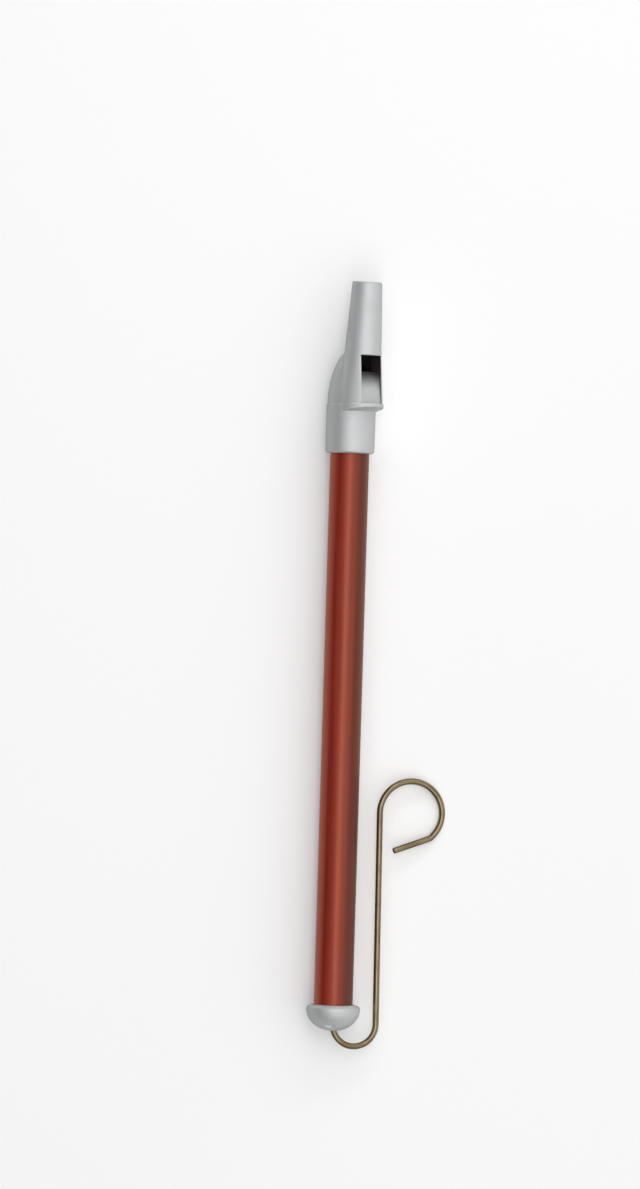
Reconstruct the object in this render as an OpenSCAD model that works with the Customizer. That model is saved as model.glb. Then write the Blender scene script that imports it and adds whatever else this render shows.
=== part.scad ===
// Slide whistle with a wire plunger, lying on a table.
// The tube runs along X with the mouthpiece toward +X, the wire handle lies on the -Y side,
// and the window faces halfway between +Z and -Y. All lengths are in millimetres.

/* [Tube] */
// Outside diameter of the tube
tube_d = 15.9; // [14.5:0.1:17.5]
// Wall thickness of the tube
tube_wall = 0.5; // [0.4:0.05:0.7]
// Length of tube that shows between the ferrule and the cap
tube_show = 224.5; // [190:0.5:260]

/* [Ferrule] */
// Length of the ferrule, from its foot to the seam under the head
ferrule_len = 19.8; // [16:0.1:24]
// Wall of the ferrule round the tube
ferrule_wall = 2.05; // [1.6:0.05:2.5]
// Rounding of the ferrule's foot
ferrule_foot_round = 1.1; // [0.4:0.1:1.5]
// Rounding of the ferrule's upper edge
ferrule_top_round = 0.35; // [0.2:0.05:0.6]
// Thickness of the shoulder that the tube butts against
ferrule_shoulder = 1.0; // [0.6:0.1:1.5]
// Diameter of the round front lip
lip_d = 19.4; // [18.6:0.1:20.5]
// How far the lip rises past the seam
lip_rise = 0.5; // [0.2:0.1:1]
// Height of the lip's upright rim, in front
lip_rim = 1.2; // [0.6:0.1:2]
// Height of the slope under the lip, in front
lip_slope_height = 2; // [1:0.1:3]

/* [Head] */
// Length of the head, from the seam to the mouth end
head_len = 50; // [42:0.5:60]
// Wall of the hollow head
head_wall = 1.5; // [1:0.1:1.8]
// How far the bulge stands back from the ferrule
bulge_set_back = 0.35; // [0.1:0.05:0.8]
// Height of the bulge behind the window
bulge_len = 22.4; // [21:0.1:28]
// Diameter of the boss at the seam
boss_foot_d = 18.7; // [18:0.1:19]
// Diameter of the neck between the boss and the mouthpiece
neck_d = 14.9; // [14:0.1:16.5]
// Height of the neck above the seam
neck_height = 22.3; // [21.5:0.1:28]
// Diameter of the mouthpiece at its end
mouth_d = 12.2; // [11.8:0.1:14]
// Rounding of the mouthpiece's end
mouth_round = 0.7; // [0.3:0.1:0.9]
// Distance from the tube's axis to the middle of the boss at the seam
boss_offset = 4.85; // [4.2:0.05:5.5]
// Distance from the tube's axis to the middle of the mouth end
mouth_offset = 7.2; // [6:0.1:8]
// Turn of the window, from the handle's side toward the top
window_turn = 45; // [30:1:60]
// Depth of the spigot that enters the ferrule
spigot_len = 1.4; // [0.8:0.1:2]
// Wall of the spigot
spigot_wall = 1.3; // [0.8:0.1:1.6]

/* [Window] */
// Width of the window and its ramp
window_w = 11.3; // [9:0.1:12]
// Height of the window's top edge above the seam
window_top = 20; // [18:0.1:20.8]
// Length of the opening, from its top edge to the lip's edge
window_len = 6.5; // [5:0.1:8]
// Height of the ramp's sharp edge above the tube's axis
edge_height = 8; // [7.95:0.01:8.2]
// Slope of the ramp's flat part
ramp_slope = 9; // [7:0.5:12]
// Slope of the ramp at its sharp edge
edge_slope = 36; // [20:1:45]
// Radius of the round between those two slopes
ramp_round = 11.6; // [8:0.1:14]
// Depth of the bevels along the window's rims
window_bevel = 0.55; // [0.2:0.05:0.8]
// Slant of those bevels, outward from the ramp's own direction
bevel_slant = 20; // [0:1:30]
// Size of the bevel along the window's top edge
top_bevel = 0.4; // [0.2:0.05:0.6]

/* [Windway] */
// Radius of the plug that makes the windway's floor
plug_r = 5.1; // [4.7:0.05:5.2]
// Width of the windway
windway_w = 8.8; // [7:0.1:9]
// Height of the windway
windway_h = 1.4; // [1:0.05:1.5]
// Height of the windway's floor above the mouthpiece's own axis
windway_floor = 1.4; // [1.2:0.05:1.6]

/* [End cap] */
// Wall of the cap round the tube
cap_wall = 3.05; // [2.4:0.05:3.6]
// Depth of the cap's socket for the tube
cap_socket = 5.5; // [4:0.1:6.5]
// Height of the rolled rim above the widest ring
cap_rim_height = 1.8; // [1.2:0.1:2.6]
// Height of the dome below the widest ring
cap_dome_height = 9; // [7.5:0.1:11]
// Radius of the crease round the rim
crease_r = 0.28; // [0.15:0.01:0.4]
// Width of the vent slot at the dome's surface
vent_w = 4.7; // [3:0.1:6]
// Depth of the vent slot
vent_depth = 0.8; // [0.5:0.1:1.2]
// Height of the vent slot
vent_h = 0.8; // [0.5:0.1:1.2]
// Height of the vent slot above the dome's end
vent_height = 2.1; // [1.8:0.1:3]
// Offset of the vent slot from the middle, away from the handle
vent_offset = 0.75; // [0:0.05:2]
// Thickness of the felt stop in the cap
stop_h = 2; // [1:0.1:3]

/* [Plunger wire] */
// Diameter of the wire
wire_d = 2.5; // [2:0.1:2.8]
// Bend radius of the turn below the cap, to the wire's middle
turn_r = 9; // [7:0.1:11]
// Depth of the start of that turn inside the cap's end
turn_inset = 2.8; // [2:0.1:3.4]
// Radius of the finger loop, to the wire's middle
loop_r = 13.05; // [11:0.05:16]
// Distance from the tube's axis to the loop's middle
loop_reach = 30.2; // [27:0.1:34]
// Height of the loop's middle above the start of the turn
loop_height = 86.5; // [60:0.5:120]
// How far the loop runs on past its outermost point
loop_run = 48.6; // [35:0.1:60]
// Bend radius before the straight end
nib_r = 3; // [2:0.1:5]
// Angle of the bend before the straight end
nib_turn = 21.9; // [10:0.1:30]
// Length of the straight end
tail_len = 15.5; // [10:0.5:20]
// Chamfer of the wire's two ends
wire_chamfer = 0.3; // [0.1:0.05:0.6]

/* [Piston] */
// Distance from the ferrule's foot down to the wire's inner end
piston_depth = 1; // [0:0.5:10]
// Length of thread in front of the nut
thread_show = 1; // [0.5:0.1:2]
// Width of the nuts across their flats
nut_w = 5; // [4.5:0.1:6]
// Thickness of each nut
nut_h = 2; // [1.5:0.1:3]
// Chamfer of the nuts' corners
nut_chamfer = 0.35; // [0.1:0.05:0.5]
// Diameter of the washers
washer_d = 13.8; // [11:0.1:13.9]
// Thickness of each washer
washer_h = 0.8; // [0.5:0.1:1.2]
// Thickness of each packing disc
disc_h = 4; // [2.5:0.1:5]
// Wall of the spacer sleeve inside the discs
sleeve_wall = 0.9; // [0.6:0.1:1.2]

/* [Hidden] */
$fn = 96;

// Steps in a quarter of an oval
oval_steps = 24;
// Steps in a rounded edge
round_steps = 8;
// Overrun of cuts past the faces that they open
over = 1;
// Clearance of glued and pressed joints
seat_gap = 0.03;
// Running clearance of what slides or turns
run_gap = 0.05;
// Clearance at each end of the packing, which turns on its sleeve
end_gap = 0.1;
// Loose clearance of the wire in washers and felt
loose_gap = 0.15;
// Flare of the cap's hole, past the wire's own bend
flare_gap = 0.12;
// How much thinner the wire is in its bends
bend_thinning = 0.01;
// How far the straight runs of wire reach into its bends
bend_lap = 0.1;
// Number of packing discs
disc_count = 3;
// Radius of the disc that cuts the vent slot
vent_cutter_r = (pow(vent_w / 2, 2) + pow(vent_depth, 2)) / (2 * vent_depth);

tube_r = tube_d / 2;
bore_r = tube_r - tube_wall;
ferrule_r = tube_r + ferrule_wall;
seam = ferrule_len;
ferrule_grip = seam - spigot_len - ferrule_shoulder;
lip_r = lip_d / 2;

bulge_r = ferrule_r - bulge_set_back;
boss_foot_r = boss_foot_d / 2;
neck_r = neck_d / 2;
mouth_r = mouth_d / 2;
lean = atan((mouth_offset - boss_offset) / head_len);
stem_len = head_len / cos(lean);
window_z = seam + window_top;
edge_z = window_z - window_len;
ramp_middle = [edge_height - ramp_round * cos(edge_slope), edge_z - ramp_round * sin(edge_slope)];
ramp_top = ramp_middle + ramp_round * [cos(ramp_slope), sin(ramp_slope)];
ramp_foot_x = ramp_top.x + (ramp_top.y - seam) * tan(ramp_slope);
window_rim_r = neck_r + (boss_foot_r - neck_r) * (neck_height - window_top) / neck_height;
window_middle_x = boss_offset + window_top * tan(lean);
rim_top_x = window_middle_x + sqrt(pow(window_rim_r, 2) - pow(window_w / 2, 2));
rim_foot_x = boss_offset + sqrt(pow(boss_foot_r, 2) - pow(window_w / 2, 2));
rim_lean = atan((rim_top_x - rim_foot_x) / window_top);
rim_w = window_w + 2 * window_bevel * tan(bevel_slant);
rim_z = seam + window_top * cos(rim_lean);
far = mouth_offset + boss_foot_r;

cap_r = tube_r + cap_wall;
cap_top = -tube_show;
cap_wide = cap_top - cap_rim_height;
cap_floor = cap_top - cap_socket;
cap_end = cap_wide - cap_dome_height;
dome_r = function (z) cap_r * sqrt(1 - pow((cap_wide - z) / cap_dome_height, 2));

wire_r = wire_d / 2;
turn_z = cap_end + turn_inset;
loop_z = turn_z + loop_height;
centre_gap = norm([loop_reach - turn_r, loop_height]);
leg_lean = asin((turn_r + loop_r) / centre_gap) - atan((loop_reach - turn_r) / loop_height);
leg_len = sqrt(pow(centre_gap, 2) - pow(turn_r + loop_r, 2));
loop_end = [loop_reach + loop_r * cos(loop_run), loop_z - loop_r * sin(loop_run)];
nib_middle = [loop_end.x - nib_r * cos(loop_run), loop_end.y + nib_r * sin(loop_run)];
tail_turn = loop_run + nib_turn;
tail_start = [nib_middle.x + nib_r * cos(tail_turn), nib_middle.y - nib_r * sin(tail_turn)];

wire_top = -piston_depth;
front_nut_z = wire_top - thread_show - nut_h;
front_washer_z = front_nut_z - washer_h;
pack_len = disc_count * disc_h;
sleeve_len = pack_len + 2 * end_gap;
sleeve_z = front_washer_z - sleeve_len;
rear_washer_z = sleeve_z - washer_h;
rear_nut_z = rear_washer_z - nut_h;
sleeve_r = wire_r + run_gap + sleeve_wall;

// The handle turns down until its loop lies on the table beside the cap
handle_far = loop_reach + loop_r;
handle_drop = asin((cap_r - wire_r) / handle_far);
mouth_top = seam + (stem_len - mouth_round) * cos(lean) + (mouth_r - mouth_round) * sin(lean) + mouth_round;
turn_bottom = turn_z - turn_r - wire_r;
mid_z = (mouth_top + turn_bottom) / 2;
mid_y = (cap_r - handle_far * cos(handle_drop) - wire_r) / 2;

// Points of an arc with half-widths a and b about a middle point
function oval(middle, a, b, from, to, steps) =
    [for (i = [0:steps]) let (t = from + (to - from) * i / steps) middle + [a * cos(t), b * sin(t)]];

// Lays an upright whistle down: its own Z becomes +X and its own X becomes -Y
module lay() {
    translate([-mid_z, -mid_y, cap_r]) rotate([-90, 0, 0]) rotate([0, 90, 0]) children();
}

// Turns the head's own +X to the window's side
module face_window() {
    rotate([0, 0, -window_turn]) children();
}

// Places the mouthpiece's own axis, which starts at the seam under the boss
module on_stem() {
    translate([boss_offset, 0, seam]) rotate([0, lean, 0]) children();
}

// The half-oval bulge behind the window, taken in by a wall
module bulge_shape(inset) {
    translate([0, 0, seam])
        rotate_extrude()
            polygon(concat([[0, -over]], [[bulge_r - inset, -over]],
                oval([0, 0], bulge_r - inset, bulge_len - inset, 0, 90, oval_steps)));
}

// The boss and mouthpiece, round about their own leaning axis
module stem_shape() {
    foot_r = boss_foot_r + over * (boss_foot_r - neck_r) / neck_height;
    on_stem()
        rotate_extrude()
            polygon(concat([[0, -over], [foot_r, -over], [neck_r, neck_height]],
                oval([mouth_r - mouth_round, stem_len - mouth_round],
                    mouth_round, mouth_round, 0, 90, round_steps),
                [[0, stem_len]]));
}

// The room inside the boss, under the window
module stem_hollow() {
    on_stem()
        translate([0, 0, -over])
            cylinder(h = neck_height + over, r1 = boss_foot_r - head_wall, r2 = neck_r - head_wall);
}

// The tone chamber: as wide as the tube, and a wall inside the head's own shape
module chamber() {
    intersection() {
        translate([0, 0, seam - spigot_len - over])
            cylinder(h = window_top + spigot_len + over, r = bore_r);
        union() {
            bulge_shape(head_wall);
            stem_hollow();
        }
    }
    translate([0, 0, seam - spigot_len - over]) cylinder(h = spigot_len + over, r = bore_r);
}

// The round of the ramp, below its sharp edge
module ramp_nose() {
    intersection() {
        translate([ramp_middle.x, window_w / 2 + over, ramp_middle.y])
            rotate([90, 0, 0])
                cylinder(h = window_w + 2 * over, r = ramp_round);
        translate([0, -window_w, edge_z - ramp_round]) cube([far, 2 * window_w, ramp_round]);
    }
}

// The channel in front of the ramp, and the opening above its sharp edge
module window_cut() {
    difference() {
        translate([0, window_w / 2, 0])
            rotate([90, 0, 0])
                linear_extrude(height = window_w)
                    polygon([[edge_height, edge_z], ramp_top, [ramp_foot_x, seam],
                        [ramp_foot_x, seam - over], [far, seam - over], [far, window_z],
                        [bore_r / 2, window_z], [bore_r / 2, edge_z]]);
        ramp_nose();
    }
}

// Bevels along the two upright rims of the window
module rim_bevels() {
    for (side = [-1, 1])
        translate([rim_foot_x - window_bevel, side * window_w / 2, seam])
            rotate([0, rim_lean, 0])
                rotate([0, 0, side * bevel_slant])
                    translate([0, -window_w / 2, -over])
                        cube([far, window_w, window_top + over]);
}

// Bevel along the window's top edge, round about the middle of the boss there
module edge_bevel() {
    difference() {
        translate([boss_offset, -rim_w / 2, rim_z - window_bevel / 2])
            cube([far, rim_w, window_z + top_bevel - rim_z + window_bevel / 2]);
        translate([window_middle_x, 0, window_z - over])
            cylinder(h = top_bevel + 2 * over,
                r1 = window_rim_r - top_bevel - over, r2 = window_rim_r + over);
    }
}

// Section of the plug, seen along the mouthpiece's own axis
module plug_section(gap) {
    intersection() {
        circle(r = plug_r - gap);
        translate([-plug_r, -plug_r]) square([plug_r + windway_floor - gap, 2 * plug_r]);
    }
}

// What lies above the window's top edge
module above_window() {
    translate([-far, -far, window_z]) cube([3 * far, 2 * far, head_len]);
}

// The head's outside, cut flat at the seam, with the spigot below it
module head_body() {
    difference() {
        union() {
            bulge_shape(0);
            stem_shape();
        }
        translate([0, 0, seam - 3 * over]) cylinder(h = 3 * over, r = far);
    }
    translate([0, 0, seam - spigot_len]) cylinder(h = spigot_len + over, r = bore_r + spigot_wall);
}

// The bore for the plug, with the windway along its flat side
module windway_cut() {
    intersection() {
        on_stem()
            linear_extrude(height = stem_len + over) {
                plug_section(0);
                translate([windway_floor - seat_gap, -windway_w / 2])
                    square([windway_h + seat_gap, windway_w]);
            }
        above_window();
    }
}

module head() {
    color("silver")
        face_window()
            difference() {
                head_body();
                chamber();
                window_cut();
                rim_bevels();
                edge_bevel();
                windway_cut();
            }
}

module windway_plug() {
    color("dimgray")
        face_window()
            intersection() {
                on_stem() linear_extrude(height = stem_len) plug_section(seat_gap);
                above_window();
            }
}

// The ferrule's own round body, with a rounded foot and upper edge
module ferrule_body() {
    rotate_extrude()
        polygon(concat([[0, 0]],
            oval([ferrule_r - ferrule_foot_round, ferrule_foot_round],
                ferrule_foot_round, ferrule_foot_round, -90, 0, round_steps),
            oval([ferrule_r - ferrule_top_round, seam - ferrule_top_round],
                ferrule_top_round, ferrule_top_round, 0, 90, round_steps),
            [[0, seam]]));
}

// The round lip that carries the boss, whose underside slopes back to the ferrule's own round
module lip_body() {
    lip_top = seam + lip_rise;
    slope_foot = lip_top - lip_rim - lip_slope_height;
    spread = (boss_offset + lip_r - ferrule_r) / lip_slope_height;
    height = lip_top - slope_foot;
    intersection() {
        translate([0, 0, slope_foot - over])
            cylinder(h = height + over, r1 = ferrule_r - over * spread, r2 = ferrule_r + height * spread);
        face_window()
            translate([boss_offset, 0, slope_foot - over])
                cylinder(h = height + over, r = lip_r);
    }
}

module ferrule() {
    color("silver")
        difference() {
            union() {
                ferrule_body();
                lip_body();
            }
            translate([0, 0, -over]) cylinder(h = ferrule_grip + over, r = tube_r + seat_gap);
            cylinder(h = seam + lip_rise + over, r = bore_r);
            translate([0, 0, seam - spigot_len - seat_gap])
                cylinder(h = spigot_len + lip_rise + over, r = bore_r + spigot_wall + seat_gap);
            face_window()
                translate([boss_offset, 0, seam])
                    cylinder(h = lip_rise + over, r = boss_foot_r + seat_gap);
            translate([0, 0, seam]) cylinder(h = lip_rise + over, r = bulge_r + seat_gap);
        }
}

module tube() {
    color([0.6, 0.14, 0.1])
        translate([0, 0, cap_floor])
            difference() {
                cylinder(h = ferrule_grip - cap_floor, r = tube_r);
                translate([0, 0, -over]) cylinder(h = ferrule_grip - cap_floor + 2 * over, r = bore_r);
            }
}

// The slot low on the dome, on the side that faces up
module vent_cut() {
    vent_z = cap_end + vent_height;
    translate([-vent_offset, -dome_r(vent_z) - vent_cutter_r + vent_depth, vent_z - vent_h / 2])
        cylinder(h = vent_h, r = vent_cutter_r);
}

// The hole for the wire: a close guide, flared where the wire starts to bend
module wire_hole() {
    flare_r = turn_r - sqrt(pow(turn_r - wire_r, 2) - pow(turn_inset, 2)) + flare_gap;
    translate([0, 0, cap_end - over])
        cylinder(h = cap_floor - cap_end + 2 * over, r = wire_r + run_gap);
    translate([0, 0, cap_end])
        cylinder(h = turn_inset, r1 = flare_r, r2 = wire_r + run_gap);
}

module end_cap() {
    socket_r = tube_r + seat_gap;
    crease_at = oval([socket_r, cap_wide], cap_r - socket_r, cap_rim_height, 50, 50, 1)[0];
    color("silver")
        difference() {
            rotate_extrude()
                polygon(concat([[0, cap_top]],
                    oval([socket_r, cap_wide], cap_r - socket_r, cap_rim_height, 90, 0, round_steps),
                    oval([0, cap_wide], cap_r, cap_dome_height, 0, -90, oval_steps)));
            translate([0, 0, cap_floor]) cylinder(h = cap_socket + over, r = socket_r);
            rotate_extrude() translate(crease_at) circle(r = crease_r, $fn = 24);
            wire_hole();
            vent_cut();
        }
}

module felt_stop() {
    color("darkolivegreen")
        translate([0, 0, cap_floor])
            difference() {
                cylinder(h = stop_h, r = bore_r - seat_gap);
                translate([0, 0, -over]) cylinder(h = stop_h + 2 * over, r = wire_r + loose_gap);
            }
}

// Turns the handle about the tube's axis until its loop reaches the table
module on_handle() {
    rotate([0, 0, handle_drop]) children();
}

// An arc of wire in the handle's plane, from one angle to another about a middle point
module wire_arc(middle, r, from, to) {
    translate([middle.x, 0, middle.y])
        rotate([90, 0, 0])
            rotate([0, 0, from])
                rotate_extrude(angle = to - from)
                    translate([r, 0]) circle(r = wire_r - bend_thinning, $fn = 48);
}

// A straight run of wire in the handle's plane, leaning from upright, that laps the bends at its ends
module wire_run(start, length, tilt) {
    translate([start.x, 0, start.y])
        rotate([0, tilt, 0])
            translate([0, 0, -bend_lap])
                cylinder(h = length + 2 * bend_lap, r = wire_r, $fn = 48);
}

// A chamfered end of the wire, at the end of a straight run
module wire_tip(start, length, tilt) {
    translate([start.x, 0, start.y])
        rotate([0, tilt, 0])
            translate([0, 0, length - wire_chamfer])
                cylinder(h = wire_chamfer, r1 = wire_r, r2 = wire_r - wire_chamfer, $fn = 48);
}

module plunger_wire() {
    inner_len = wire_top - turn_z;
    leg_start = [turn_r + turn_r * cos(leg_lean), turn_z + turn_r * sin(leg_lean)];
    color("darkgoldenrod")
        on_handle()
            union() {
                wire_run([0, turn_z], inner_len - wire_chamfer - bend_lap, 0);
                wire_tip([0, turn_z], inner_len, 0);
                wire_arc([turn_r, turn_z], turn_r, 180, 360 + leg_lean);
                wire_run(leg_start, leg_len, -leg_lean);
                wire_arc([loop_reach, loop_z], loop_r, -loop_run, 180 + leg_lean);
                wire_run(loop_end, 0, loop_run - 180);
                wire_arc(nib_middle, nib_r, -tail_turn, -loop_run);
                wire_run(tail_start, tail_len - wire_chamfer - bend_lap, tail_turn - 180);
                wire_tip(tail_start, tail_len, tail_turn - 180);
            }
}

// A hexagon nut on the wire's thread, with its corners turned off at both faces
module nut(z) {
    corner_r = nut_w / 2 / cos(30);
    color("lightgray")
        translate([0, 0, z])
            difference() {
                intersection() {
                    cylinder(h = nut_h, r = corner_r, $fn = 6);
                    rotate_extrude()
                        polygon([[0, 0], [corner_r - nut_chamfer, 0], [corner_r, nut_chamfer / 2],
                            [corner_r, nut_h - nut_chamfer / 2], [corner_r - nut_chamfer, nut_h],
                            [0, nut_h]]);
                }
                translate([0, 0, -over]) cylinder(h = nut_h + 2 * over, r = wire_r + seat_gap);
            }
}

// A flat washer that backs the packing
module washer(z) {
    color("lightgray")
        translate([0, 0, z])
            difference() {
                cylinder(h = washer_h, d = washer_d);
                translate([0, 0, -over]) cylinder(h = washer_h + 2 * over, r = wire_r + loose_gap);
            }
}

module spacer_sleeve() {
    color("gold")
        translate([0, 0, sleeve_z])
            difference() {
                cylinder(h = sleeve_len, r = sleeve_r);
                translate([0, 0, -over]) cylinder(h = sleeve_len + 2 * over, r = wire_r + run_gap);
            }
}

// One disc of the packing, counted from the mouthpiece's end
module packing_disc(index) {
    color("wheat")
        translate([0, 0, front_washer_z - end_gap - index * disc_h])
            difference() {
                cylinder(h = disc_h, r = bore_r - run_gap);
                translate([0, 0, -over]) cylinder(h = disc_h + 2 * over, r = sleeve_r + run_gap);
            }
}

lay() head();
lay() windway_plug();
lay() ferrule();
lay() tube();
lay() end_cap();
lay() felt_stop();
lay() plunger_wire();
lay() nut(front_nut_z);  // front_nut
lay() washer(front_washer_z);  // front_washer
lay() spacer_sleeve();
lay() packing_disc(1);  // packing_disc_1
lay() packing_disc(2);  // packing_disc_2
lay() packing_disc(3);  // packing_disc_3
lay() washer(rear_washer_z);  // rear_washer
lay() nut(rear_nut_z);  // rear_nut
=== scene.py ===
"""Looks, light and camera of a slide whistle that lies on a pale table.

Lengths are in metres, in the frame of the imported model: the tube runs along X with the
mouthpiece toward +X, the wire handle lies on the -Y side and +Z is up.
"""

import logging
import math
from dataclasses import dataclass, field
from enum import Enum

import bpy
from mathutils import Matrix, Vector, noise


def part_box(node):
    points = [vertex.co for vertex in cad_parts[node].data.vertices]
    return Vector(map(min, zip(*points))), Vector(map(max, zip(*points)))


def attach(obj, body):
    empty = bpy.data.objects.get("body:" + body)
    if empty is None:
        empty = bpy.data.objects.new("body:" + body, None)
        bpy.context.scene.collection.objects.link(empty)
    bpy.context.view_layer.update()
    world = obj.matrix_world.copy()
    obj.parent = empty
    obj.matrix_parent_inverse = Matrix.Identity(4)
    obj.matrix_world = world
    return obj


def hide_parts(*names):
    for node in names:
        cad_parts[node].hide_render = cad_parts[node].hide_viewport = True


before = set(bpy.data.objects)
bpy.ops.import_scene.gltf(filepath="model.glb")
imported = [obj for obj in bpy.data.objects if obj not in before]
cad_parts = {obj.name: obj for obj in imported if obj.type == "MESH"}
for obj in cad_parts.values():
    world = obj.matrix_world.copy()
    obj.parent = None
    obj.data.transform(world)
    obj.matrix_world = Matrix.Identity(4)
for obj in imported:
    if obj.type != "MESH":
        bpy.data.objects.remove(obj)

LOG = logging.getLogger("slide_whistle")
MM = 0.001
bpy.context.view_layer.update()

Colour = tuple[float, float, float]
Span = tuple[float, float]
Tree = bpy.types.NodeTree
Node = bpy.types.Node
Socket = bpy.types.NodeSocket

QUARTER = math.radians(90)
BLACK: Colour = (0.0, 0.0, 0.0)
FULL: Span = (0.0, 1.0)


class Streaks(Enum):
    """The direction in which a finish's fine streaks run, as a stretch of the grain in X, Y and Z."""

    ALONG_TUBE = (0.02, 1.0, 1.0)
    ALONG_WIRE = (0.1, 1.0, 1.0)
    EVEN = (1.0, 1.0, 1.0)
    ACROSS_FELT = (1.0, 0.4, 1.0)
    ROUND_TUBE = (1.0, 0.08, 0.08)


class SocketKind(Enum):
    """The kinds of socket that the shared effects use."""

    NUMBER = "NodeSocketFloat"
    VECTOR = "NodeSocketVector"


def place(tree: Tree, kind: str, **settings: object) -> Node:
    """Adds a shader node.

    Args:
        tree: The node tree that it goes into.
        kind: Blender's name for the kind of node.
        **settings: The node's own settings, by name.

    Returns:
        The new node.
    """
    node = tree.nodes.new(kind)
    for name, value in settings.items():
        setattr(node, name, value)
    return node


def math_node(tree: Tree, operation: str, *values: Socket | float) -> Socket:
    """Adds a Math node, fed by sockets or plain numbers.

    Args:
        tree: The node tree that it goes into.
        operation: The sum that it does, such as MULTIPLY.
        *values: A socket or a number for each of the sum's inputs, in order.

    Returns:
        The socket that gives the result.
    """
    node = place(tree, "ShaderNodeMath", operation=operation)
    for slot, value in zip(node.inputs, values):
        if isinstance(value, bpy.types.NodeSocket):
            tree.links.new(value, slot)
        else:
            slot.default_value = value
    return node.outputs[0]


def remap(tree: Tree, value: Socket, old: Span, new: Span) -> Socket:
    """Stretches a value from one span to another, smoothly.

    Args:
        tree: The node tree.
        value: The socket that gives the value.
        old: The span that comes in.
        new: The span that goes out.

    Returns:
        The socket that gives the stretched value.
    """
    node = place(tree, "ShaderNodeMapRange", interpolation_type="SMOOTHSTEP")
    tree.links.new(value, node.inputs["Value"])
    for name, number in zip(("From Min", "From Max", "To Min", "To Max"), (*old, *new)):
        node.inputs[name].default_value = number
    return node.outputs["Result"]


def blend_colours(tree: Tree, share: Socket, low: Socket | Colour, high: Socket | Colour) -> Socket:
    """Mixes two colours by a share.

    Args:
        tree: The node tree.
        share: The socket that gives the share of the second colour.
        low: The first colour, or a socket that gives it.
        high: The second colour, or a socket that gives it.

    Returns:
        The socket that gives the mixed colour.
    """
    node = place(tree, "ShaderNodeMix", data_type="RGBA")
    tree.links.new(share, node.inputs["Factor"])
    slots = [slot for slot in node.inputs if slot.type == "RGBA"]
    for slot, value in zip(slots, (low, high)):
        if isinstance(value, bpy.types.NodeSocket):
            tree.links.new(value, slot)
        else:
            slot.default_value = (*value, 1.0)
    return next(slot for slot in node.outputs if slot.type == "RGBA")


def shaded(colour: Colour, share: float) -> Colour:
    """Returns the colour at a share of its brightness."""
    return tuple(share * part for part in colour)


def seen_directly(tree: Tree) -> Socket:
    """Tells the rays that show a surface as background from those that light the object.

    Args:
        tree: The node tree of the background's material or world.

    Returns:
        The socket that gives 1 where the camera, a gloss or a glass shows the surface, and 0 elsewhere.
    """
    rays = place(tree, "ShaderNodeLightPath").outputs
    seen = math_node(tree, "MAXIMUM", rays["Is Camera Ray"], rays["Is Glossy Ray"])
    return math_node(tree, "MAXIMUM", seen, rays["Is Transmission Ray"])


class Effect:
    """A shared effect: a shader node group that is built once and placed in each material."""

    name = ""
    inputs: dict[str, tuple[SocketKind, float]] = {}
    outputs: dict[str, SocketKind] = {}

    def tree(self) -> Tree:
        """Builds the group the first time it is asked for.

        Returns:
            The group's node tree.
        """
        if self.name in bpy.data.node_groups:
            return bpy.data.node_groups[self.name]
        tree = bpy.data.node_groups.new(self.name, "ShaderNodeTree")
        for name, (kind, value) in self.inputs.items():
            socket = tree.interface.new_socket(name, in_out="INPUT", socket_type=kind.value)
            if kind is SocketKind.NUMBER:
                socket.default_value = value
        for name, kind in self.outputs.items():
            tree.interface.new_socket(name, in_out="OUTPUT", socket_type=kind.value)
        self.wire(tree, place(tree, "NodeGroupInput"), place(tree, "NodeGroupOutput"))
        return tree

    def wire(self, tree: Tree, start: Node, end: Node) -> None:
        """Fills the group with its nodes."""
        raise NotImplementedError

    def put(self, tree: Tree, point: Socket | None, **values: float) -> Node:
        """Places the effect in a material.

        Args:
            tree: The material's node tree.
            point: The socket that gives the place on the surface, where the effect needs it.
            **values: The effect's own numbers, by the names of its inputs with underscores.

        Returns:
            The placed group node.
        """
        node = place(tree, "ShaderNodeGroup", node_tree=self.tree())
        if point is not None:
            tree.links.new(point, node.inputs["Place"])
        for name, value in values.items():
            node.inputs[name.replace("_", " ")].default_value = value
        return node


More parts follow.
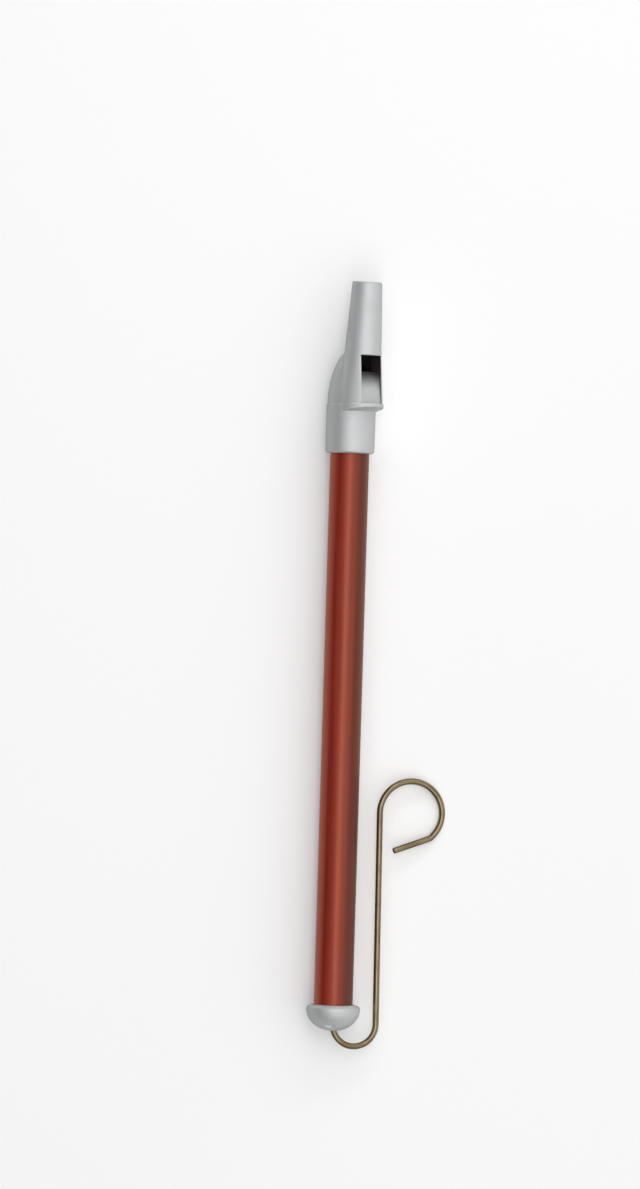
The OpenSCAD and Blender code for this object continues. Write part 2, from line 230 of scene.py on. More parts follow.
class Grain(Effect):
    """Fine streaks or grain, stretched along one direction."""

    name = "grain"
    inputs = {
        "Place": (SocketKind.VECTOR, 0.0),
        "Stretch X": (SocketKind.NUMBER, 1.0),
        "Stretch Y": (SocketKind.NUMBER, 1.0),
        "Stretch Z": (SocketKind.NUMBER, 1.0),
        "Scale": (SocketKind.NUMBER, 900.0),
        "Detail": (SocketKind.NUMBER, 4.0),
    }
    outputs = {"Mask": SocketKind.NUMBER}
    contrast: Span = (0.3, 0.7)

    def wire(self, tree: Tree, start: Node, end: Node) -> None:
        """Stretches the place, then reads a noise there.

        Args:
            tree: The group's node tree.
            start: The node that gives the group's inputs.
            end: The node that takes the group's outputs.
        """
        stretch = place(tree, "ShaderNodeCombineXYZ")
        for axis in "XYZ":
            tree.links.new(start.outputs[f"Stretch {axis}"], stretch.inputs[axis])
        scaled = place(tree, "ShaderNodeVectorMath", operation="MULTIPLY")
        tree.links.new(start.outputs["Place"], scaled.inputs[0])
        tree.links.new(stretch.outputs["Vector"], scaled.inputs[1])
        streaks = place(tree, "ShaderNodeTexNoise")
        tree.links.new(scaled.outputs["Vector"], streaks.inputs["Vector"])
        tree.links.new(start.outputs["Scale"], streaks.inputs["Scale"])
        tree.links.new(start.outputs["Detail"], streaks.inputs["Detail"])
        tree.links.new(remap(tree, streaks.outputs["Fac"], self.contrast, FULL), end.inputs["Mask"])

    def mask(self, tree: Tree, point: Socket, streaks: Streaks, scale: float, detail: float = 4.0) -> Socket:
        """Places the grain in a material, with its streaks in one direction.

        Args:
            tree: The material's node tree.
            point: The socket that gives the place on the surface.
            streaks: The direction in which the streaks run.
            scale: How fine the grain is.
            detail: How many finer layers of grain lie in it.

        Returns:
            The socket that gives the grain, from 0 to 1.
        """
        x, y, z = streaks.value
        node = self.put(tree, point, Stretch_X=x, Stretch_Y=y, Stretch_Z=z, Scale=scale, Detail=detail)
        return node.outputs["Mask"]


class EdgeWearAndHighlight(Effect):
    """A mask of the sharp edges, broken up by a noise, where a finish is worn, and on the silver also painted
    brighter as a highlight.
    """

    name = "edge_wear_and_highlight"
    inputs = {
        "Place": (SocketKind.VECTOR, 0.0),
        "Radius": (SocketKind.NUMBER, 0.0003),
        "Breakup": (SocketKind.NUMBER, 700.0),
    }
    outputs = {"Mask": SocketKind.NUMBER}
    bevel_samples = 6
    sharpness: Span = (0.99, 0.85)
    breakup_span: Span = (0.35, 0.65)
    breakup_share: Span = (0.2, 1.0)

    def wire(self, tree: Tree, start: Node, end: Node) -> None:
        """Compares the true normal with one that is rounded over the edges.

        Args:
            tree: The group's node tree.
            start: The node that gives the group's inputs.
            end: The node that takes the group's outputs.
        """
        bevel = place(tree, "ShaderNodeBevel", samples=self.bevel_samples)
        tree.links.new(start.outputs["Radius"], bevel.inputs["Radius"])
        geometry = place(tree, "ShaderNodeNewGeometry")
        dot = place(tree, "ShaderNodeVectorMath", operation="DOT_PRODUCT")
        tree.links.new(bevel.outputs["Normal"], dot.inputs[0])
        tree.links.new(geometry.outputs["Normal"], dot.inputs[1])
        edge = remap(tree, dot.outputs["Value"], self.sharpness, FULL)
        rubs = place(tree, "ShaderNodeTexNoise")
        tree.links.new(start.outputs["Place"], rubs.inputs["Vector"])
        tree.links.new(start.outputs["Breakup"], rubs.inputs["Scale"])
        broken = remap(tree, rubs.outputs["Fac"], self.breakup_span, self.breakup_share)
        tree.links.new(math_node(tree, "MULTIPLY", edge, broken), end.inputs["Mask"])


class SoftEdge(Effect):
    """A normal that rounds the sharp edges over a small radius."""

    name = "soft_edge"
    inputs = {"Radius": (SocketKind.NUMBER, 0.0002)}
    outputs = {"Normal": SocketKind.VECTOR}
    bevel_samples = 8

    def wire(self, tree: Tree, start: Node, end: Node) -> None:
        """Passes the rounded normal on.

        Args:
            tree: The group's node tree.
            start: The node that gives the group's inputs.
            end: The node that takes the group's outputs.
        """
        bevel = place(tree, "ShaderNodeBevel", samples=self.bevel_samples)
        tree.links.new(start.outputs["Radius"], bevel.inputs["Radius"])
        tree.links.new(bevel.outputs["Normal"], end.inputs["Normal"])


class Handling(Effect):
    """Broad soft patches, such as the trace that fingers leave, and sparse fine specks."""

    name = "handling"
    inputs = {
        "Place": (SocketKind.VECTOR, 0.0),
        "Patches": (SocketKind.NUMBER, 45.0),
        "Specks": (SocketKind.NUMBER, 1600.0),
    }
    outputs = {"Patch": SocketKind.NUMBER, "Speck": SocketKind.NUMBER}
    patch_span: Span = (0.4, 0.68)
    speck_span: Span = (0.1, 0.04)

    def wire(self, tree: Tree, start: Node, end: Node) -> None:
        """Reads one noise for the patches and a cell pattern for the specks.

        Args:
            tree: The group's node tree.
            start: The node that gives the group's inputs.
            end: The node that takes the group's outputs.
        """
        patches = place(tree, "ShaderNodeTexNoise")
        tree.links.new(start.outputs["Place"], patches.inputs["Vector"])
        tree.links.new(start.outputs["Patches"], patches.inputs["Scale"])
        tree.links.new(remap(tree, patches.outputs["Fac"], self.patch_span, FULL), end.inputs["Patch"])
        cells = place(tree, "ShaderNodeTexVoronoi")
        tree.links.new(start.outputs["Place"], cells.inputs["Vector"])
        tree.links.new(start.outputs["Specks"], cells.inputs["Scale"])
        tree.links.new(remap(tree, cells.outputs["Distance"], self.speck_span, FULL), end.inputs["Speck"])


GRAIN = Grain()
EDGE_WEAR_AND_HIGHLIGHT = EdgeWearAndHighlight()
SOFT_EDGE = SoftEdge()
HANDLING = Handling()


def bump(tree: Tree, shader: Node, height: Socket, depth: float, base: Socket | None = None) -> None:
    """Feeds a height into the shader's normal.

    Args:
        tree: The material's node tree.
        shader: The Principled shader.
        height: The socket that gives the height, from 0 to 1.
        depth: How deep a height of 1 is, in metres.
        base: A normal to start from, such as one with rounded edges.
    """
    node = place(tree, "ShaderNodeBump")
    node.inputs["Distance"].default_value = depth
    tree.links.new(height, node.inputs["Height"])
    if base is not None:
        tree.links.new(base, node.inputs["Normal"])
    tree.links.new(node.outputs["Normal"], shader.inputs["Normal"])


def vary_gloss(tree: Tree, shader: Node, mask: Socket, roughness: Span) -> None:
    """Gives the shader the first roughness where the mask is 0 and the second where it is 1."""
    tree.links.new(remap(tree, mask, FULL, roughness), shader.inputs["Roughness"])


@dataclass(frozen=True)
class Finish:
    """What every finish has: a name and a Principled shader that its own nodes feed."""

    name: str

    def material(self) -> bpy.types.Material:
        """Builds the finish the first time it is asked for.

        Returns:
            The finish's material.
        """
        if self.name in bpy.data.materials:
            return bpy.data.materials[self.name]
        material = bpy.data.materials.new(self.name)
        material.use_nodes = True
        tree = material.node_tree
        point = place(tree, "ShaderNodeTexCoord").outputs["Object"]
        self.feed(tree, tree.nodes["Principled BSDF"], point)
        return material

    def feed(self, tree: Tree, shader: Node, point: Socket) -> None:
        """Wires the finish's own nodes into the shader."""
        raise NotImplementedError


@dataclass(frozen=True)
class SatinSilver(Finish):
    """Satin silver metallising on a moulding: soft patches, fine grain, and edges that are worn and painted
    brighter as highlights.

    The grazing tint holds its reflections along the outline below those of plain metal. That is a choice,
    because the outline is dark in the photograph.
    """

    colour: Colour = (0.622, 0.632, 0.636)
    # Painted highlight and wear: the nearly white tone that the sharp edges take.
    wear_and_highlight_colour: Colour = (0.92, 0.92, 0.92)
    grazing: Colour = (0.02, 0.02, 0.02)
    shade: float = 0.95
    metallic: float = 0.8
    roughness: Span = (0.6, 0.72)
    streaks: Streaks = Streaks.ALONG_TUBE
    grain_scale: float = 1300.0
    grain_share: float = 0.6
    wear_and_highlight_radius: float = 0.7 * MM
    rounding: float = 0.25 * MM
    relief: float = 0.0008 * MM

    def feed(self, tree: Tree, shader: Node, point: Socket) -> None:
        """Mixes the silver with its worn edges, painted brighter as highlights, and lets grain and patches
        vary the gloss.

        Args:
            tree: The material's node tree.
            shader: The Principled shader.
            point: The socket that gives the place on the surface.
        """
        grain = GRAIN.mask(tree, point, self.streaks, self.grain_scale)
        traces = HANDLING.put(tree, point)
        # Painted highlight and wear: the sharp edges turn nearly white, as worn silver and as the highlight
        # that light puts on them.
        wear_and_highlight = EDGE_WEAR_AND_HIGHLIGHT.put(tree, point, Radius=self.wear_and_highlight_radius)
        tone = blend_colours(tree, grain, shaded(self.colour, self.shade), self.colour)
        with_wear_and_highlight = blend_colours(tree, wear_and_highlight.outputs["Mask"], tone, self.wear_and_highlight_colour)
        tree.links.new(with_wear_and_highlight, shader.inputs["Base Color"])
        dulling = math_node(tree, "MULTIPLY_ADD", grain, self.grain_share, traces.outputs["Patch"])
        rough = remap(tree, dulling, (0.0, 1.0 + self.grain_share), self.roughness)
        tree.links.new(rough, shader.inputs["Roughness"])
        shader.inputs["Metallic"].default_value = self.metallic
        shader.inputs["Specular Tint"].default_value = (*self.grazing, 1.0)
        soft = SOFT_EDGE.put(tree, None, Radius=self.rounding)
        bump(tree, shader, grain, self.relief, soft.outputs["Normal"])


@dataclass(frozen=True)
class HeadSilver(SatinSilver):
    """The head's silver, with shade painted into the window: darker up the ramp and on its side walls, and
    near-black, matt and not metallic inside the head.

    The inside is told from the outside by place. Its walls lie inside the bulge's oval or inside the
    cone of the mouthpiece, and below the level of the ramp's edge, seen along the window's direction,
    which is halfway between up and the wire handle's side.
    """

    wear_and_highlight_radius: float = 0.3 * MM
    # Painted shade: the near-black inside the head, the dark grey in the window, and how much duller the
    # inside is.
    painted_inner_shade: Colour = (0.012, 0.012, 0.013)
    painted_shading: Colour = (0.075, 0.065, 0.068)
    inner_dulling: float = 0.15
    axis_y: float = 16.19 * MM
    axis_z: float = 11.0 * MM
    seam: float = 106.15 * MM
    facing: float = math.sqrt(0.5)
    bulge_len: float = 22.4 * MM
    bulge_radius: float = 9.65 * MM
    bulge_inner_share: float = 0.93
    stem_offset: float = 4.85 * MM
    stem_lean: float = 0.047
    stem_radius: float = 9.35 * MM
    stem_taper: float = -0.075
    wall: float = 0.7 * MM
    edge_level: float = 4.8 * MM
    window_half: float = 5.6 * MM
    bevel_half: float = 5.7 * MM
    window_span: Span = (0.2 * MM, 20.05 * MM)
    ramp_fade: Span = (5.5 * MM, 13.5 * MM)
    wall_share: float = 0.75

    def feed(self, tree: Tree, shader: Node, point: Socket) -> None:
        """Adds painted shade to the silver: darker in the window and near-black inside the head.

        Args:
            tree: The material's node tree.
            shader: The Principled shader.
            point: The socket that gives the place on the surface.
        """
        super().feed(tree, shader, point)
        along, across, front = self.spread(tree, point)
        inside = self.inside(tree, along, across, front)
        # Painted shade: the window darkens toward dark grey, and the inside of the head is painted
        # near-black, matt and not metallic.
        silver = shader.inputs["Base Color"].links[0].from_socket
        window_with_painted_shade = blend_colours(tree, self.painted_window_shade(tree, along, across, front), silver, self.painted_shading)
        tree.links.new(blend_colours(tree, inside, window_with_painted_shade, self.painted_inner_shade), shader.inputs["Base Color"])
        tree.links.new(remap(tree, inside, FULL, (self.metallic, 0.0)), shader.inputs["Metallic"])
        gloss = shader.inputs["Roughness"].links[0].from_socket
        rough = math_node(tree, "MULTIPLY_ADD", inside, self.inner_dulling, gloss)
        tree.links.new(rough, shader.inputs["Roughness"])

    def spread(self, tree: Tree, point: Socket) -> tuple[Socket, Socket, Socket]:
        """Measures a place from the tube's axis at the seam, as the window faces.

        Args:
            tree: The material's node tree.
            point: The socket that gives the place on the surface.

        Returns:
            The sockets that give the distance along the tube, across the window and in front of the axis.
        """
        split = place(tree, "ShaderNodeSeparateXYZ")
        tree.links.new(point, split.inputs["Vector"])
        along = math_node(tree, "SUBTRACT", split.outputs["X"], self.seam)
        side = math_node(tree, "SUBTRACT", self.axis_y, split.outputs["Y"])
        height = math_node(tree, "SUBTRACT", split.outputs["Z"], self.axis_z)
        front = math_node(tree, "MULTIPLY", math_node(tree, "ADD", side, height), self.facing)
        across = math_node(tree, "MULTIPLY", math_node(tree, "SUBTRACT", side, height), self.facing)
        return along, across, front

    def painted_window_shade(self, tree: Tree, along: Socket, across: Socket, front: Socket) -> Socket:
        """Finds where shade is painted in the window: up the ramp and on the side walls.

        Args:
            tree: The material's node tree.
            along: The socket that gives the distance along the tube.
            across: The socket that gives the distance across the window.
            front: The socket that gives the distance in front of the axis.

        Returns:
            The socket that gives 0 where no shade is painted and 1 where it is darkest.
        """
        reach = math_node(tree, "ABSOLUTE", across)
        on_wall = math_node(tree, "GREATER_THAN", reach, self.window_half)
        wall = math_node(tree, "MULTIPLY", on_wall, self.wall_share)
        share = math_node(tree, "MAXIMUM", wall, remap(tree, along, self.ramp_fade, FULL))
        for kind, value, limit in (
            ("LESS_THAN", reach, self.bevel_half),
            ("GREATER_THAN", along, self.window_span[0]),
            ("LESS_THAN", along, self.window_span[1]),
            ("GREATER_THAN", front, self.edge_level),
        ):
            share = math_node(tree, "MULTIPLY", share, math_node(tree, kind, value, limit))
        return share

    def inside(self, tree: Tree, along: Socket, across: Socket, front: Socket) -> Socket:
        """Tells the inside of the head from its outside.

        Args:
            tree: The material's node tree.
            along: The socket that gives the distance along the tube.
            across: The socket that gives the distance across the window.
            front: The socket that gives the distance in front of the axis.

        Returns:
            The socket that gives 1 on the inside and 0 on the outside.
        """
        square = math_node(tree, "MULTIPLY", across, across)
        wide = math_node(tree, "ADD", math_node(tree, "MULTIPLY", front, front), square)
        oval = math_node(tree, "DIVIDE", wide, self.bulge_radius**2)
        length = math_node(tree, "DIVIDE", math_node(tree, "MULTIPLY", along, along), self.bulge_len**2)
        depth = math_node(tree, "ADD", oval, length)
        in_bulge = math_node(tree, "LESS_THAN", depth, self.bulge_inner_share)
        shift = math_node(tree, "MULTIPLY_ADD", along, self.stem_lean, self.stem_offset)
        off = math_node(tree, "SUBTRACT", front, shift)
        apart = math_node(tree, "ADD", math_node(tree, "MULTIPLY", off, off), square)
        reach = math_node(tree, "SQRT", apart)
        limit = math_node(tree, "MULTIPLY_ADD", along, self.stem_taper, self.stem_radius - self.wall)
        in_stem = math_node(tree, "LESS_THAN", reach, limit)
        low = math_node(tree, "LESS_THAN", front, self.edge_level)
        return math_node(tree, "MULTIPLY", math_node(tree, "MAXIMUM", in_bulge, in_stem), low)


@dataclass(frozen=True)
class RedLacquer(Finish):
    """Clear red lacquer over a drawn metal tube, with faint lengthwise streaks under the gloss.

    Its tone is painted darker toward the wire handle's side, as painted shade on that side of the tube. That
    is a choice: this side is darker in the photograph, which can't tell a thicker coat from shade.
    """

    deep: Colour = (0.28, 0.016, 0.008)
    bright: Colour = (0.35, 0.024, 0.012)
    shine: Colour = (1.0, 0.88, 0.6)
    metallic: float = 0.4
    specular: float = 1.0
    roughness: Span = (0.36, 0.42)
    # Painted shade: where the red is darkest and where it is whole, across the tube, and how dark it gets.
    painted_shade_side: float = 8.2 * MM
    unshaded_side: float = 20.5 * MM
    painted_shade_share: float = 0.3
    grain_scale: float = 900.0
    relief: float = 0.001 * MM

    def feed(self, tree: Tree, shader: Node, point: Socket) -> None:
        """Varies the red and its gloss along the drawn streaks, and paints shade on the handle's side.

        Args:
            tree: The material's node tree.
            shader: The Principled shader.
            point: The socket that gives the place on the surface.
        """
        grain = GRAIN.mask(tree, point, Streaks.ALONG_TUBE, self.grain_scale)
        traces = HANDLING.put(tree, point)
        tone = blend_colours(tree, grain, self.deep, self.bright)
        # Painted shade: the red is darkened toward the wire handle's side, to a share of its strength.
        split = place(tree, "ShaderNodeSeparateXYZ")
        tree.links.new(point, split.inputs["Vector"])
        sides = (self.painted_shade_side, self.unshaded_side)
        painted_shading = remap(tree, split.outputs["Y"], sides, (self.painted_shade_share, 1.0))
        tree.links.new(blend_colours(tree, painted_shading, BLACK, tone), shader.inputs["Base Color"])
        shader.inputs["Metallic"].default_value = self.metallic
        shader.inputs["Specular IOR Level"].default_value = self.specular
        shader.inputs["Specular Tint"].default_value = (*self.shine, 1.0)
        vary_gloss(tree, shader, grain, self.roughness)
        bump(tree, shader, traces.outputs["Speck"], self.relief)


@dataclass(frozen=True)
class DrawnWire(Finish):
    """Bright drawn wire with a bronze tone, dulled in patches, and dark along its outline like the silver."""

    colour: Colour = (0.26, 0.2, 0.12)
    dulled: Colour = (0.19, 0.145, 0.083)
    grazing: Colour = (0.1, 0.08, 0.05)
    metallic: float = 0.9
    specular: float = 1.0
    roughness: Span = (0.03, 0.09)
    grain_scale: float = 2200.0
    patches: float = 120.0
    relief: float = 0.0015 * MM

    def feed(self, tree: Tree, shader: Node, point: Socket) -> None:
        """Mixes the bright and dulled tones by patches, and lets the grain vary the gloss.

        Args:
            tree: The material's node tree.
            shader: The Principled shader.
            point: The socket that gives the place on the surface.
        """
        grain = GRAIN.mask(tree, point, Streaks.ALONG_WIRE, self.grain_scale)
        traces = HANDLING.put(tree, point, Patches=self.patches)
        tone = blend_colours(tree, traces.outputs["Patch"], self.colour, self.dulled)
        tree.links.new(tone, shader.inputs["Base Color"])
        shader.inputs["Metallic"].default_value = self.metallic
        shader.inputs["Specular IOR Level"].default_value = self.specular
        shader.inputs["Specular Tint"].default_value = (*self.grazing, 1.0)
        vary_gloss(tree, shader, grain, self.roughness)
        bump(tree, shader, grain, self.relief)


@dataclass(frozen=True)
class PlatedSteel(Finish):
    """Zinc-plated steel of the nuts and washers, with worn edges."""

    colour: Colour = (0.52, 0.52, 0.5)
    wear_and_highlight_colour: Colour = (0.75, 0.75, 0.73)
    shade: float = 0.85
    metallic: float = 1.0
    roughness: Span = (0.3, 0.45)
    grain_scale: float = 1800.0
    wear_and_highlight_radius: float = 0.2 * MM
    relief: float = 0.003 * MM

    def feed(self, tree: Tree, shader: Node, point: Socket) -> None:
        """Varies the tone and the gloss by a fine even grain.

        Args:
            tree: The material's node tree.
            shader: The Principled shader.
            point: The socket that gives the place on the surface.
        """
        grain = GRAIN.mask(tree, point, Streaks.EVEN, self.grain_scale)
        wear_and_highlight = EDGE_WEAR_AND_HIGHLIGHT.put(tree, point, Radius=self.wear_and_highlight_radius)
        tone = blend_colours(tree, grain, shaded(self.colour, self.shade), self.colour)
        with_wear_and_highlight = blend_colours(tree, wear_and_highlight.outputs["Mask"], tone, self.wear_and_highlight_colour)
        tree.links.new(with_wear_and_highlight, shader.inputs["Base Color"])
        shader.inputs["Metallic"].default_value = self.metallic
        vary_gloss(tree, shader, grain, self.roughness)
        bump(tree, shader, grain, self.relief)


@dataclass(frozen=True)
class TurnedBrass(Finish):
    """Brass of the spacer sleeve, with the rings that a lathe leaves."""

    colour: Colour = (0.6, 0.42, 0.16)
    shade: float = 0.8
    metallic: float = 1.0
    roughness: Span = (0.25, 0.4)
    grain_scale: float = 3000.0
    relief: float = 0.004 * MM

    def feed(self, tree: Tree, shader: Node, point: Socket) -> None:
        """Varies the tone and the gloss ring by ring.

        Args:
            tree: The material's node tree.
            shader: The Principled shader.
            point: The socket that gives the place on the surface.
        """
        rings = GRAIN.mask(tree, point, Streaks.ROUND_TUBE, self.grain_scale)
        tone = blend_colours(tree, rings, shaded(self.colour, self.shade), self.colour)
        tree.links.new(tone, shader.inputs["Base Color"])
        shader.inputs["Metallic"].default_value = self.metallic
        vary_gloss(tree, shader, rings, self.roughness)
        bump(tree, shader, rings, self.relief)


@dataclass(frozen=True)
class PressedFelt(Finish):
    """Pressed wool felt of the packing and the stop washer."""

    colour: Colour = (0.55, 0.5, 0.38)
    soil: Colour = (0.36, 0.32, 0.23)
    sheen: float = 0.4
    roughness: Span = (0.85, 1.0)
    fibre_scale: float = 3500.0
    fibre_detail: float = 8.0
    patches: float = 400.0
    relief: float = 0.12 * MM

    def feed(self, tree: Tree, shader: Node, point: Socket) -> None:
        """Mottles the wool and raises its fibres.

        Args:
            tree: The material's node tree.
            shader: The Principled shader.
            point: The socket that gives the place on the surface.
        """
        fibres = GRAIN.mask(tree, point, Streaks.ACROSS_FELT, self.fibre_scale, self.fibre_detail)
        traces = HANDLING.put(tree, point, Patches=self.patches)
        tone = blend_colours(tree, fibres, self.soil, self.colour)
        soiled = blend_colours(tree, traces.outputs["Patch"], tone, self.soil)
        tree.links.new(soiled, shader.inputs["Base Color"])
        shader.inputs["Sheen Weight"].default_value = self.sheen
        vary_gloss(tree, shader, fibres, self.roughness)
        bump(tree, shader, fibres, self.relief)


@dataclass(frozen=True)
class DarkMoulding(Finish):
    """Plain dark plastic of the plug inside the mouthpiece."""

    colour: Colour = (0.03, 0.03, 0.032)
    speckle: float = 1.5
    roughness: Span = (0.4, 0.6)
    grain_scale: float = 2600.0
    relief: float = 0.01 * MM

    def feed(self, tree: Tree, shader: Node, point: Socket) -> None:
        """Gives the plastic a fine spark-eroded texture.

        Args:
            tree: The material's node tree.
            shader: The Principled shader.
            point: The socket that gives the place on the surface.
        """
        grain = GRAIN.mask(tree, point, Streaks.EVEN, self.grain_scale)
        tone = blend_colours(tree, grain, self.colour, shaded(self.colour, self.speckle))
        tree.links.new(tone, shader.inputs["Base Color"])
        vary_gloss(tree, shader, grain, self.roughness)
        bump(tree, shader, grain, self.relief)


@dataclass(frozen=True)
class PaleTable(Finish):
    """The pale table top under the whistle."""

    colour: Colour = (0.86, 0.86, 0.86)
    lift: Colour = (0.13, 0.13, 0.13)
    shade: float = 0.99
    patches: float = 2.0
    roughness: float = 0.9
    specular: float = 0.1

    def feed(self, tree: Tree, shader: Node, point: Socket) -> None:
        """Keeps the table even, with a trace of tone so that it isn't dead flat.

        Args:
            tree: The material's node tree.
            shader: The Principled shader.
            point: The socket that gives the place on the surface.
        """
        cloud = HANDLING.put(tree, point, Patches=self.patches)
        tone = blend_colours(tree, cloud.outputs["Patch"], self.colour, shaded(self.colour, self.shade))
        tree.links.new(tone, shader.inputs["Base Color"])
        shader.inputs["Roughness"].default_value = self.roughness
        shader.inputs["Specular IOR Level"].default_value = self.specular
        glow = blend_colours(tree, seen_directly(tree), BLACK, self.lift)
        tree.links.new(glow, shader.inputs["Emission Color"])
        shader.inputs["Emission Strength"].default_value = 1.0


SILVER = SatinSilver("satin_silver")
HEAD_SILVER = HeadSilver("head_silver")
RED = RedLacquer("red_lacquer")
WIRE = DrawnWire("drawn_wire")
STEEL = PlatedSteel("plated_steel")
BRASS = TurnedBrass("turned_brass")
FELT = PressedFelt("pressed_felt")
DARK = DarkMoulding("dark_moulding")
TABLE = PaleTable("pale_table")


def dress(node: str, finish: Finish) -> None:
    """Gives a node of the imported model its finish.

    Args:
        node: The node's name.
        finish: The finish that all of its faces take.
    """
    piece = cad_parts[node]
    piece.data.materials.clear()
    piece.data.materials.append(finish.material())
    LOG.info("dressed %s in %s", node, finish.name)


@dataclass
class FeltRing:
    """A pressed felt ring on the tube's axis, with soft corners and slightly crowned, uneven faces."""

    node: str
    body: str
    hole: float
    corner: float = 0.6 * MM
    crown: float = 0.12 * MM
    unevenness: float = 0.08 * MM
    lump: float = 1.6 * MM
    clear: float = 0.01 * MM
    steps: int = 96
    corner_steps: int = 5
    face_steps: int = 6

    def section(self, outer: float, half: float) -> list[Span]:
        """Draws the ring's section.

        Args:
            outer: The outer radius.
            half: Half the thickness.

        Returns:
            The points of a closed line, as distances along the axis and out from it.
        """
        end, high, low = half - self.crown - self.corner, outer - self.corner, self.hole + self.corner
        middles = ((end, high), (-end, high), (-end, low), (end, low))
        points = []
        for quarter, (along, out) in enumerate(middles):
            for step in range(self.corner_steps + 1):
                angle = QUARTER * (quarter + step / self.corner_steps)
                points.append((along + self.corner * math.cos(angle), out + self.corner * math.sin(angle)))
            there = middles[(quarter + 1) % len(middles)]
            turn = QUARTER * (quarter + 1)
            crown = self.crown if quarter % 2 else 0.0
            for step in range(1, self.face_steps):
                share = step / self.face_steps
                reach = self.corner + 4 * share * (1 - share) * crown
                x = along + (there[0] - along) * share + reach * math.cos(turn)
                y = out + (there[1] - out) * share + reach * math.sin(turn)
                points.append((x, y))
        return points

    def mesh(self) -> bpy.types.Mesh:
        """Turns the section round the axis, in the plain ring's place, and makes it uneven.

        Returns:
            The ring's mesh.
        """
        low, high = (Vector(corner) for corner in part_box(self.node))
        middle = (low + high) / 2
        outer = (high.z - low.z) / 2 - self.clear
        section = self.section(outer, (high.x - low.x) / 2)
        heart = Vector((0.0, 0.0, (outer + self.hole) / 2))
        points, faces = [], []
        for step in range(self.steps):
            turn = Matrix.Rotation(math.tau * step / self.steps, 3, "X")
            for along, out in section:
                spot = Vector((along, 0.0, out))
                dip = 0.5 + 0.5 * noise.noise((middle + turn @ spot) / self.lump)
                spot += (heart - spot).normalized() * self.unevenness * dip
                points.append(middle + turn @ spot)
        count = len(section)
        for step in range(self.steps):
            here, there = step * count, (step + 1) % self.steps * count
            for index in range(count):
                after = (index + 1) % count
                faces.append((here + index, there + index, there + after, here + after))
        mesh = bpy.data.meshes.new(f"{self.node}_wool")
        mesh.from_pydata(points, [], faces)
        mesh.polygons.foreach_set("use_smooth", [True] * len(mesh.polygons))
        return mesh

    def build(self) -> None:
        """Adds the ring in its finish, and puts it in the plain ring's place on its body."""
        mesh = self.mesh()
        mesh.materials.append(FELT.material())
        ring = bpy.data.objects.new(mesh.name, mesh)
        bpy.context.scene.collection.objects.link(ring)
        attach(ring, self.body)
        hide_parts(self.node)
        LOG.info("built %s on %s", ring.name, self.body)


@dataclass
class WhistleHead:
    """The head, its windway plug and the ferrule below it."""

    head: str = "head"
    ferrule: str = "ferrule"
    plug: str = "windway_plug"

    def build(self) -> None:
        """Dresses the mouldings and the plug."""
        dress(self.head, HEAD_SILVER)
        dress(self.ferrule, SILVER)
        dress(self.plug, DARK)


@dataclass
class TubeAndCap:
    """The red tube, the domed cap and the felt stop inside it."""

    tube: str = "tube"
    cap: str = "end_cap"
    stop: str = "felt_stop"
    stop_hole: float = 1.4 * MM
    stop_corner: float = 0.35 * MM

    def build(self) -> None:
        """Dresses the tube and the cap, and builds the stop."""
        dress(self.tube, RED)
        dress(self.cap, SILVER)
        FeltRing(self.stop, "body", self.stop_hole, corner=self.stop_corner).build()


@dataclass
class Plunger:
    """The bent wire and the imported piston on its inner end."""

    wire: str = "plunger_wire"
    fixings: tuple[str, ...] = ("front_nut", "front_washer", "rear_washer", "rear_nut")
    sleeve: str = "spacer_sleeve"
    discs: tuple[str, ...] = ("packing_disc_1", "packing_disc_2", "packing_disc_3")
    disc_hole: float = 2.27 * MM

    def build(self) -> None:
        """Dresses the wire and what is clamped on it, and builds the packing."""
        dress(self.wire, WIRE)
        for node in self.fixings:
            dress(node, STEEL)
        dress(self.sleeve, BRASS)
        for node in self.discs:
            FeltRing(node, "packing", self.disc_hole).build()


@dataclass(frozen=True)
class Lamp:
    """A soft rectangular light that faces the middle of the table, with its power in watts."""

    name: str
    spot: tuple[float, float, float]
    size: Span
    power: float

    def hang(self) -> None:
        """Hangs the light, with its length as near to X as its tilt allows."""
        lamp = bpy.data.lights.new(self.name, "AREA")
        lamp.shape = "RECTANGLE"
        lamp.size, lamp.size_y = self.size
        lamp.energy = self.power
        thing = bpy.data.objects.new(self.name, lamp)
        thing.location = self.spot
        out = Vector(self.spot).normalized()
        side = Vector((1.0, 0.0, 0.0))
        side = (side - side.dot(out) * out).normalized()
        thing.rotation_euler = Matrix((side, out.cross(side), out)).transposed().to_euler()
        bpy.context.scene.collection.objects.link(thing)


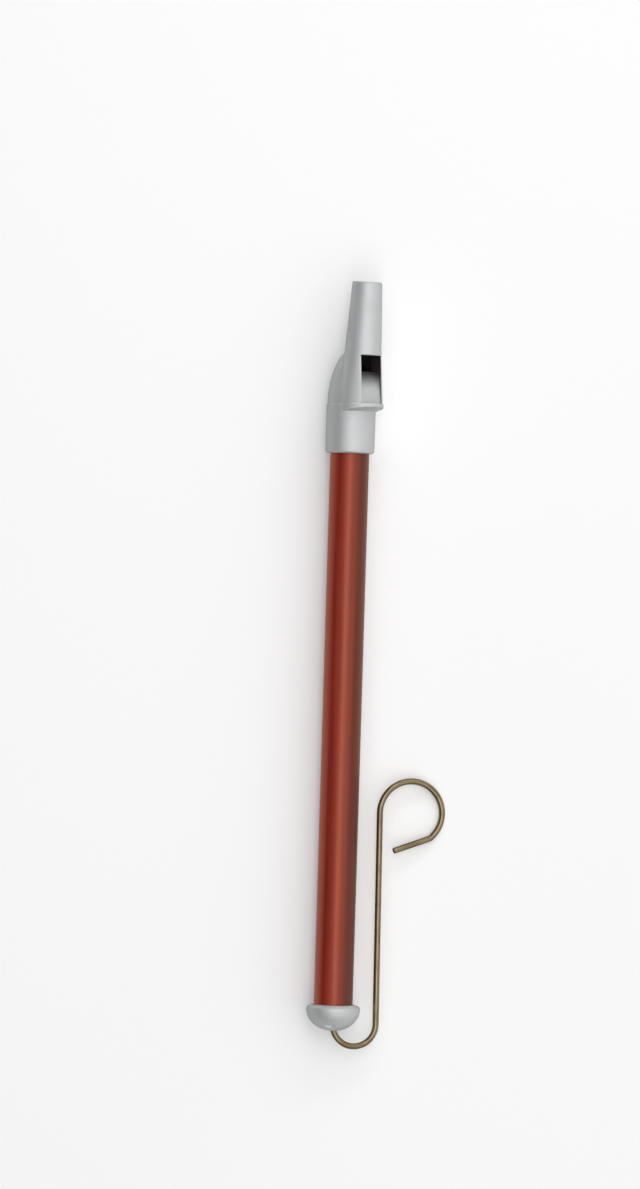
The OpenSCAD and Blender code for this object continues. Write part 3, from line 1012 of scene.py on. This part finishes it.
@dataclass
class Studio:
    """The table, the soft lights and the camera straight above the whistle.

    The camera looks straight down. The axis_point, on the tube's axis, shows axis_right to the right
    of the picture's middle.
    """

    table_half: float = 8.0
    lens: float = 203.4
    clip_start: float = 0.01
    distance: float = 2.736
    axis_point: Vector = field(default_factory=lambda: Vector((0.02885, 0.016193, 0.011)))
    axis_right: float = 0.0104
    roll: float = math.radians(1.73)
    room_tilt: float = math.radians(26.0)
    room_span: Span = (-0.05, 1.0)
    room_low: Colour = (0.0, 0.0, 0.0)
    room_high: Colour = (0.82, 0.82, 0.82)
    horizon: Colour = (0.85, 0.85, 0.85)
    horizon_span: Span = (0.16, 0.09)
    lamps: tuple[Lamp, ...] = (
        Lamp("strip", (0.0, -0.07, 1.4), (2.0, 0.35), 5.4),
        Lamp("key", (0.0, -0.75, 1.2), (2.6, 1.6), 5.0),
        Lamp("mouth_end", (1.2, -0.15, 0.8), (0.3, 1.5), 3.8),
    )

    def table(self) -> None:
        """Lays the table under the whistle, at the lowest point of the model."""
        half = self.table_half
        mesh = bpy.data.meshes.new("table_top")
        corners = [(-half, -half, 0.0), (half, -half, 0.0), (half, half, 0.0), (-half, half, 0.0)]
        mesh.from_pydata(corners, [], [(0, 1, 2, 3)])
        mesh.materials.append(TABLE.material())
        table = bpy.data.objects.new("table_top", mesh)
        bpy.context.scene.collection.objects.link(table)

    def world(self) -> None:
        """Fills the room with a soft light, brightest a little to the handle's side of straight up.

        The band along the horizon is pale where it is seen directly, in gloss or through glass.
        """
        world = bpy.data.worlds.new("room")
        world.use_nodes = True
        tree = world.node_tree
        background = tree.nodes["Background"]
        point = place(tree, "ShaderNodeTexCoord").outputs["Generated"]
        toward = place(tree, "ShaderNodeVectorMath", operation="DOT_PRODUCT")
        tree.links.new(point, toward.inputs[0])
        toward.inputs[1].default_value = (0.0, -math.sin(self.room_tilt), math.cos(self.room_tilt))
        share = remap(tree, toward.outputs["Value"], self.room_span, FULL)
        dome = blend_colours(tree, share, self.room_low, self.room_high)
        split = place(tree, "ShaderNodeSeparateXYZ")
        tree.links.new(point, split.inputs["Vector"])
        low = remap(tree, split.outputs["Z"], self.horizon_span, FULL)
        band = math_node(tree, "MULTIPLY", seen_directly(tree), low)
        tree.links.new(blend_colours(tree, band, dome, self.horizon), background.inputs["Color"])
        background.inputs["Strength"].default_value = 1.0
        bpy.context.scene.world = world

    def camera(self) -> None:
        """Puts the camera straight above, rolled as the whistle leans in the photograph."""
        lens = bpy.data.cameras.new("camera")
        lens.lens = self.lens
        lens.clip_start = self.clip_start
        right = Vector((math.sin(self.roll), -math.cos(self.roll), 0.0))
        up = Vector((math.cos(self.roll), math.sin(self.roll), 0.0))
        back = Vector((0.0, 0.0, 1.0))
        spot = self.axis_point - self.axis_right * right + self.distance * back
        camera = bpy.data.objects.new("camera", lens)
        turned = Matrix((right, up, back)).transposed().to_4x4()
        camera.matrix_world = Matrix.Translation(spot) @ turned
        bpy.context.scene.collection.objects.link(camera)
        bpy.context.scene.camera = camera

    def build(self) -> None:
        """Sets up the whole studio."""
        self.table()
        self.world()
        for lamp in self.lamps:
            lamp.hang()
        self.camera()
        bpy.context.scene.view_settings.view_transform = "Standard"


def main() -> None:
    """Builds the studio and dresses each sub-assembly in order."""
    logging.basicConfig(level=logging.INFO, format="%(message)s")
    Studio().build()
    WhistleHead().build()
    TubeAndCap().build()
    Plunger().build()


if __name__ == "__main__":
    main()
